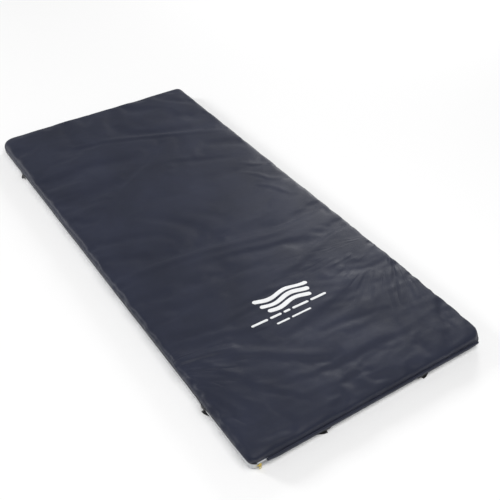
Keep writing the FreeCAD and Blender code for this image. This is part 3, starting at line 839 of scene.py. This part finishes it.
def makeFlap():
    xs = np.arange(flapLow.x, flapHigh.x, flapShape["step"])
    outMost = flapHigh.y - flapLow.y - 0.4 * mm
    t = np.linspace(0, 1, flapShape["rows"])
    x, t = np.meshgrid(xs, t, indexing="ij")
    rise = smoothStep(0, flapShape["knee"], t)
    fall = np.clip((t - 0.12) / 0.88, 0, 1)
    hem = flapLow.z + flapShape["lift"]
    hem = hem + 0.8 * mm * noiseAt(x * 11, x * 0, 3.0) + 0.5 * mm * noiseAt(x * 30, x * 0, 8.0)
    ends = np.minimum(x - flapLow.x, flapHigh.x - x) / flapShape["endTaper"]
    hem = hem + flapShape["endLift"] * (1 - np.clip(ends, 0, 1)) ** 2
    z = flapHigh.z - 0.4 * mm - fall * (flapHigh.z - 0.4 * mm - hem)
    sway = flapShape["sway"] * np.abs(noiseAt(x * 16, t * 0.6, 5.0)) * t
    y = flapHigh.y - 0.4 * mm - outMost * rise - sway
    points = np.stack([x, y, z], -1).reshape(-1, 3)
    piece = newMesh("zipFlapCloth", points, gridFaces(len(xs), flapShape["rows"]))
    outwardFaces(piece)
    thickened(piece, flapShape["thickness"])
    finishPiece(piece, "flap", "coated_nylon", nylon, "zip_flap")


makeFlap()


def makeLabel():
    low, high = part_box("care_label")
    x, t = np.meshgrid(np.linspace(low.x, high.x, 24), np.linspace(0, 1, 10), indexing="ij")
    y = low.y + 0.3 * mm + 2.2 * mm * t * t + 0.4 * mm * np.sin(x * 70) * t
    z = high.z - (high.z - low.z) * t
    piece = newMesh("careLabelCloth", np.stack([x, y, z], -1).reshape(-1, 3), gridFaces(24, 10))
    thickened(piece, 0.3 * mm)
    finishPiece(piece, "overlay", "label_cloth", labelCloth, "care_label")


makeLabel()
print("flap and label ready")


# what repeats: stitches and zip teeth, by Geometry Nodes

def repeatTree():
    # beads at even distances along curves, each a little uneven in size
    tree = bpy.data.node_groups.new("repeatAlongPath", "GeometryNodeTree")
    for name, kind in (("Geometry", "Geometry"), ("Spacing", "Float"), ("Size", "Vector"),
                       ("Uneven", "Float"), ("Seed", "Int"), ("Material", "Material")):
        tree.interface.new_socket(name, in_out="INPUT", socket_type="NodeSocket" + kind)
    tree.interface.new_socket("Geometry", in_out="OUTPUT", socket_type="NodeSocketGeometry")
    given = addNode(tree, "NodeGroupInput")
    spots = addNode(tree, "GeometryNodeResampleCurve", {"Curve": given["Geometry"],
                                                        "Length": given["Spacing"]}, mode="LENGTH")
    bead = addNode(tree, "GeometryNodeMeshUVSphere", {"Segments": 6, "Rings": 4, "Radius": 0.5})
    shape = addNode(tree, "GeometryNodeTransform", {"Geometry": bead["Mesh"], "Scale": given["Size"]})
    tangent = addNode(tree, "GeometryNodeInputTangent")
    turn = addNode(tree, "FunctionNodeAlignRotationToVector", {"Vector": tangent["Tangent"]}, axis="X")
    less, more = (addNode(tree, "ShaderNodeMath", {0: 1.0, 1: given["Uneven"]}, operation=sign)[0]
                  for sign in ("SUBTRACT", "ADD"))
    chance = addNode(tree, "FunctionNodeRandomValue", {2: less, 3: more, "Seed": given["Seed"]})
    put = addNode(tree, "GeometryNodeInstanceOnPoints", {
        "Points": spots["Curve"], "Instance": shape["Geometry"], "Rotation": turn["Rotation"],
        "Scale": chance[1]})
    real = addNode(tree, "GeometryNodeRealizeInstances", {"Geometry": put["Instances"]})
    smooth = addNode(tree, "GeometryNodeSetShadeSmooth", {"Geometry": real["Geometry"]})
    paint = addNode(tree, "GeometryNodeSetMaterial", {"Geometry": smooth["Geometry"],
                                                      "Material": given["Material"]})
    addNode(tree, "NodeGroupOutput", {"Geometry": paint["Geometry"]})
    return tree


beads = repeatTree()


def repeatAlong(name, paths, what, material, body, slot, uneven=0.06, seed=1, nodes=()):
    line = bpy.data.curves.new(name + "Line", "CURVE")
    line.dimensions = "3D"
    for path in paths:
        spline = line.splines.new("POLY")
        spline.points.add(len(path) - 1)
        spline.points.foreach_set("co", np.hstack([np.array(path), np.ones((len(path), 1))]).ravel())
    guide = bpy.data.objects.new(name + "Guide", line)
    bpy.context.scene.collection.objects.link(guide)
    modifier = guide.modifiers.new("repeat", "NODES")
    modifier.node_group = beads
    values = {"Spacing": what["spacing"], "Size": what["size"], "Uneven": uneven, "Seed": seed,
              "Material": material}
    for item in beads.interface.items_tree:
        if item.in_out == "INPUT" and item.name in values:
            modifier[item.identifier] = values[item.name]
    bpy.context.view_layer.update()
    mesh = bpy.data.meshes.new_from_object(guide.evaluated_get(bpy.context.evaluated_depsgraph_get()))
    modifier.node_group = None
    bpy.data.objects.remove(guide)
    piece = bpy.data.objects.new(name, mesh)
    bpy.context.scene.collection.objects.link(piece)
    return finishPiece(piece, body, slot, material, *nodes)


teeth = {"spacing": 1.5 * mm, "size": (1.25 * mm, 1.3 * mm, 2.5 * mm)}


def makeTeeth(node, name, shift):
    low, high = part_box(node)
    y, z = 0.5 * (low.y + high.y), 0.5 * (low.z + high.z)
    line = [(low.x + 0.7 * mm + shift, y, z), (high.x - 0.7 * mm + shift, y, z)]
    repeatAlong(name, [line], teeth, toothPlastic, "overlay", "zip_teeth", 0.0, 1, (node,))


makeTeeth("zip_teeth_upper", "zipTeethUpper", 0.0)
makeTeeth("zip_teeth_lower", "zipTeethLower", 0.5 * teeth["spacing"])

stitch = {"spacing": 4.2 * mm, "size": (2.9 * mm, 0.7 * mm, 0.7 * mm)}
tapeStitch = {"spacing": 3.2 * mm, "size": (2.2 * mm, 0.5 * mm, 0.5 * mm)}
tack = {"spacing": 2.4 * mm, "size": (1.9 * mm, 0.6 * mm, 0.6 * mm), "side": 3 * mm, "foot": 5.6 * mm,
        "top": 1.4 * mm, "offWall": 1.35 * mm}


def tackBox(corner, atSide):
    # the box and cross sewn through a strap's end
    sx, sy = corners[corner]
    low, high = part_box(tabName(corner, atSide))
    u0, u1 = (low.y, high.y) if atSide else (low.x, high.x)
    u0, u1, z0, z1 = u0 + tack["side"], u1 - tack["side"], low.z + tack["foot"], high.z - tack["top"]
    face = sx * (halfWidth + tack["offWall"]) if atSide else sy * (halfLength + tack["offWall"])
    a, b, c, d = [(face, u, z) if atSide else (u, face, z)
                  for u, z in ((u0, z0), (u1, z0), (u1, z1), (u0, z1))]
    return [[a, b, c, d, a]] + ([] if z1 - z0 < 4 * mm else [[a, c], [d, b]])


tacks = [line for corner in corners for atSide in (True, False) for line in tackBox(corner, atSide)]
repeatAlong("strapTacks", tacks, tack, thread, "overlay", "elastic_webbing", 0.08, 3)
repeatAlong("bindingStitches", [bindingLine(1.15 * mm)], stitch, thread, "overlay", "binding_tape", 0.06, 5)
tapeSeam = [(x, tapeLow.y - 0.05 * mm, tapeLow.z + 1.0 * mm) for x in (tapeLow.x, tapeHigh.x)]
repeatAlong("zipTapeStitches", [tapeSeam], tapeStitch, paleThread, "overlay", "zip_tape", 0.06, 7)
flapSeam = [(x, flapHigh.y - 1.2 * mm, flapHigh.z - 1.8 * mm)
            for x in (flapLow.x + 4 * mm, flapHigh.x - 4 * mm)]
repeatAlong("flapStitches", [flapSeam], stitch, thread, "flap", "coated_nylon", 0.06, 9)
print("stitches and teeth ready")


# white print: a plain device of waves and dashes

mark = {
    "middle": (5 * mm, -496 * mm), "waveHalf": 104 * mm, "waveGap": 27 * mm, "waveHeight": 7 * mm,
    "stroke": 8.5 * mm, "lift": 0.25 * mm, "thickness": 0.2 * mm,
    # rows of dashes: where each starts and ends, the row's place and half width, in mm
    "rows": [([(-163, -100), (-92, -48), (-40, -14), (-6, 58), (66, 129)], -555, 4.6),
             ([(-88, -38), (-30, 45)], -587, 3.6)],
}


def printedStroke(path, half, points, faces, cells=6):
    # a stroke with round ends, laid on the cloth
    path = np.array(path, float)
    along = np.gradient(path, axis=0)
    along /= np.linalg.norm(along, axis=1)[:, None]
    side = np.stack([-along[:, 1], along[:, 0]], -1)
    step = np.concatenate([[0], np.cumsum(np.linalg.norm(np.diff(path, axis=0), axis=1))])
    fromEnd = np.minimum(step, step[-1] - step)
    reach = np.clip(1 - fromEnd / half, 0, 1)
    wide = half * np.sqrt(np.maximum(1 - reach * reach, 0.02))
    first = len(points)
    for p, n, w in zip(path, side, wide):
        for k in range(cells + 1):
            spot = p + n * w * (2 * k / cells - 1)
            hit, normal = coverTree.ray_cast(Vector((*spot, 0.2)), Vector((0, 0, -1)))[:2]
            points.append(tuple(hit + normal * mark["lift"]))
    faces += [tuple(first + f for f in q) for q in gridFaces(len(path), cells + 1)]


def makeMark():
    points, faces = [], []
    cx, cy = mark["middle"]
    for k in (-1, 0, 1):
        xs = np.linspace(-mark["waveHalf"], mark["waveHalf"], 90) * (1 - 0.10 * abs(k - 1))
        ys = k * mark["waveGap"] + mark["waveHeight"] * np.sin(xs / mark["waveHalf"] * 1.5 * math.pi + 0.5)
        printedStroke(np.stack([cx + xs, cy + ys], -1), mark["stroke"], points, faces)
    for dashes, y, half in mark["rows"]:
        for a, b in dashes:
            xs = np.linspace(a, b, max(6, round((b - a) / 3))) * mm
            printedStroke(np.stack([xs, np.full(len(xs), y * mm)], -1), half * mm, points, faces, 3)
    piece = newMesh("printedMark", points, faces)
    outwardFaces(piece)
    thickened(piece, mark["thickness"])
    finishPiece(piece, "overlay", "label_cloth", ink)


makeMark()
print("print ready")


# inside the cover

def insideCover(p, inset):
    # keeps square-cornered points behind the cover's rolled top edge
    roll = cover["edgeRoll"]
    depth = np.minimum(halfWidth - np.abs(p[:, 0]), halfLength - np.abs(p[:, 1]))
    a, b = np.maximum(roll - depth, 0), np.maximum(p[:, 2] - (topZ - roll), 0)
    shrink = np.minimum(1, (roll - inset) / np.maximum(np.hypot(a, b), 1e-9))
    atEdge = a > 0
    newDepth = roll - a * shrink
    for axis, half in ((0, halfWidth), (1, halfLength)):
        near = np.sign(p[:, axis]) * np.minimum(np.abs(p[:, axis]), half - newDepth)
        p[:, axis] = np.where(atEdge, near, p[:, axis])
    p[:, 2] = np.where(b > 0, topZ - roll + b * shrink, p[:, 2])
    return p


def softBox(name, low, high, radius, step, shape=None, inset=2.0 * mm):
    # a block with rolled edges, all quads, whose corners follow the cover's
    low, high = np.array(low), np.array(high)
    lines = []
    for a, b in zip(low, high):
        inner = np.linspace(a + radius, b - radius, max(2, round((b - a - 2 * radius) / step)) + 1)
        edge = radius * np.array([0, 0.35, 0.7])
        lines.append(np.concatenate([a + edge, inner, b - edge[::-1]]))
    points, faces = [], []
    for axis in range(3):
        u, v = [k for k in range(3) if k != axis]
        for edge in (0, -1):
            gu, gv = np.meshgrid(lines[u], lines[v], indexing="ij")
            p = np.zeros(gu.shape + (3,))
            p[..., u], p[..., v], p[..., axis] = gu, gv, lines[axis][edge]
            flip = (edge == 0) != (axis == 1)
            faces += [tuple(len(points) + f for f in q) for q in gridFaces(*gu.shape, flip=flip)]
            points += [tuple(q) for q in p.reshape(-1, 3)]
    p = np.array(points)
    q = np.clip(p, low + radius, high - radius)
    d = p - q
    n = np.linalg.norm(d, axis=1)[:, None]
    p = np.where(n > 0, q + d / np.maximum(n, 1e-9) * radius, p)
    p = insideCover(p, inset)
    p[:, 0], p[:, 1] = roundCorners(p[:, 0], p[:, 1], np.full(len(p), topZ))
    if low[2] < 5 * mm:
        p[:, 2] += np.where(p[:, 2] < low[2] + radius, strapDent(p[:, 0], p[:, 1]), 0)
    if shape is not None:
        p = shape(p, low, high)
    piece = newMesh(name, p, faces)
    reworked(piece, lambda work: bmesh.ops.remove_doubles(work, verts=work.verts, dist=0.02 * mm))
    return outwardFaces(piece)


def dimpled(p, low, high):
    # shallow rows of dimples in the comfort sheet's top
    top = p[:, 2] > high[2] - 1 * mm
    edge = np.minimum(p[:, 0] - low[0], high[0] - p[:, 0])
    edge = np.minimum(edge, np.minimum(p[:, 1] - low[1], high[1] - p[:, 1]))
    wave = 0.5 - 0.5 * np.cos(p[:, 0] / (11 * mm)) * np.cos(p[:, 1] / (11 * mm))
    p[:, 2] -= np.where(top, 2.4 * mm * wave * smoothStep(10 * mm, 40 * mm, edge), 0)
    return p


foam = {"gap": 1.2 * mm, "edge": 2.5 * mm, "step": 30.0 * mm, "dimpleStep": 8.0 * mm, "inset": 2.6 * mm}


def makeFoam():
    for node in sorted(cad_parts):
        if not node.startswith("foam"):
            continue
        low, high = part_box(node)
        gap = Vector((foam["gap"],) * 3) * 0.5
        step, shape, slot, look = foam["step"], None, "firm_foam", firmFoam
        if "comfort" in node:
            step, shape, slot, look = foam["dimpleStep"], dimpled, "soft_foam", softFoam
        piece = softBox(node + "_block", low + gap, high - gap, foam["edge"], step, shape, foam["inset"])
        finishPiece(piece, "overlay", slot, look, node)


makeFoam()


sleeve = {"gap": 0.9 * mm, "edge": 6 * mm, "step": 9 * mm, "inset": 1.6 * mm, "thickness": 0.4 * mm,
          "mouthHalf": 290 * mm, "mouthRim": 9 * mm}


def makeSleeve():
    low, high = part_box("fire_sock")
    gap = Vector((sleeve["gap"], sleeve["gap"], 0))
    piece = softBox("fireSleeveKnit", low + gap, high - gap, sleeve["edge"], sleeve["step"],
                    inset=sleeve["inset"])
    rim = sleeve["mouthRim"]
    doomed = [f.index for f in piece.data.polygons
              if f.center.y > high.y - 1.5 * mm and abs(f.center.x) < sleeve["mouthHalf"]
              and low.z + rim < f.center.z < high.z - rim]
    reworked(piece, lambda work: bmesh.ops.delete(work, geom=[work.faces[k] for k in doomed],
                                                  context="FACES"))
    thickened(piece, sleeve["thickness"])
    finishPiece(piece, "overlay", "knit_sleeve", sleeveCloth, "fire_sock")


makeSleeve()

bladder = {"rim": 8 * mm, "grid": (96, 74), "rise": 26 * mm, "spots": (3, 2), "spotSize": 8 * mm,
           "spotReach": 34 * mm, "gelInset": 0.7 * mm}


def makeBladder(part, gelInset):
    # two skins, welded at the rim and at spots, so each pillows between them
    (x0, y0, z0), (x1, y1, z1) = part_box("gel_bladder_" + part)
    wide, long, thick = x1 - x0, y1 - y0, z1 - z0
    rim = bladder["rim"]
    nx, ny = bladder["grid"]
    x, y = np.meshgrid(np.linspace(x0, x1, nx), np.linspace(y0, y1, ny), indexing="ij")
    if gelInset:
        cx, cy = 0.5 * (x0 + x1), 0.5 * (y0 + y1)
        x = cx + (x - cx) * (1 - 2 * rim / wide)
        y = cy + (y - cy) * (1 - 2 * rim / long)
    edge = np.minimum(np.minimum(x - x0, x1 - x), np.minimum(y - y0, y1 - y))
    full = smoothStep(rim, rim + bladder["rise"], edge) ** 0.5
    across, along = bladder["spots"]
    for i in range(1, across + 1):
        for j in range(1, along + 1):
            r = np.hypot(x - (x0 + wide * i / (across + 1)), y - (y0 + long * j / (along + 1)))
            full = full * smoothStep(bladder["spotSize"], bladder["spotReach"], r) ** 0.5
    least = 0.05 * mm if gelInset else 0.25 * mm
    lift = np.maximum(full * (0.5 * thick - 0.3 * mm) - gelInset, least)
    middle = 0.5 * (z0 + z1)
    skins = [np.stack([x, y, middle + side * lift], -1).reshape(-1, 3) for side in (1, -1)]
    below = nx * ny
    faces = [tuple(q) for q in gridFaces(nx, ny)]
    faces += [tuple(below + k for k in q) for q in gridFaces(nx, ny, flip=True)]
    border = ([k * ny for k in range(nx)] + [(nx - 1) * ny + k for k in range(1, ny)]
              + [k * ny + ny - 1 for k in range(nx - 2, -1, -1)] + [k for k in range(ny - 2, 0, -1)])
    faces += [(a, a + below, b + below, b) for a, b in zip(border, border[1:] + border[:1])]
    name, node, slot, look = "gelBladder_", "gel_bladder_", "bladder_film", film
    if gelInset:
        name, node, slot, look = "gelFill_", "gel_fill_", "gel", gel
    piece = outwardFaces(newMesh(name + part, np.vstack(skins), faces))
    finishPiece(piece, "overlay", slot, look, node + part)


for part in ("foot", "torso", "head"):
    makeBladder(part, 0.0)
    makeBladder(part, bladder["gelInset"])
print("inner pieces ready")

# carried-over nodes
for name in ("zip_slider", "zip_pull_link", "zip_pull_tab", "zip_stop_left", "zip_stop_right"):
    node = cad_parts[name]
    node.data.materials.clear()
    node.data.materials.append(brassPaint)


# floor, light and camera

stage = {
    "floorColour": (0.97, 0.97, 0.97), "floorHalf": 9.0, "world": 0.40,
    "key": (4.1, 3.1, 1.7), "keySize": 1.3, "keyPower": 95.0,
    "side": (-3.6, 4.0, 2.2), "sideSize": 1.2, "sidePower": 115.0,
    "fill": (-0.2, -1.8, 3.7), "fillSize": 3.0, "fillPower": 92.0,
    "cameraAt": (-1.1203, -2.0046, 1.7893), "cameraAlong": (0.425, 0.647, -0.633), "lens": 56.42,
}


def makeStage():
    half = stage["floorHalf"]
    spots = [(-half, -half, 0), (half, -half, 0), (half, half, 0), (-half, half, 0)]
    floor = newMesh("floor", spots, [(0, 1, 2, 3)])
    material, tree, shader = newMaterial("paleFloor")
    setInputs(tree, shader, {"Base Color": (*stage["floorColour"], 1), "Roughness": 0.9})
    floor.data.materials.append(material)
    world = bpy.data.worlds.new("studio")
    world.use_nodes = True
    setInputs(world.node_tree, world.node_tree.nodes["Background"],
              {"Color": (1, 1, 1, 1), "Strength": stage["world"]})
    scene = bpy.context.scene
    scene.world = world
    for name in ("key", "side", "fill"):
        light = bpy.data.lights.new(name, "AREA")
        light.energy = stage[name + "Power"]
        light.size = stage[name + "Size"]
        lamp = bpy.data.objects.new(name, light)
        lamp.location = stage[name]
        lamp.rotation_euler = (-Vector(stage[name])).to_track_quat("-Z", "Y").to_euler()
        scene.collection.objects.link(lamp)
    lens = bpy.data.cameras.new("camera")
    lens.lens = stage["lens"]
    lens.sensor_width = 36.0
    camera = bpy.data.objects.new("camera", lens)
    camera.location = stage["cameraAt"]
    camera.rotation_euler = Vector(stage["cameraAlong"]).to_track_quat("-Z", "Y").to_euler()
    scene.collection.objects.link(camera)
    scene.camera = camera
    scene.view_settings.view_transform = "Standard"


makeStage()
print("stage ready")
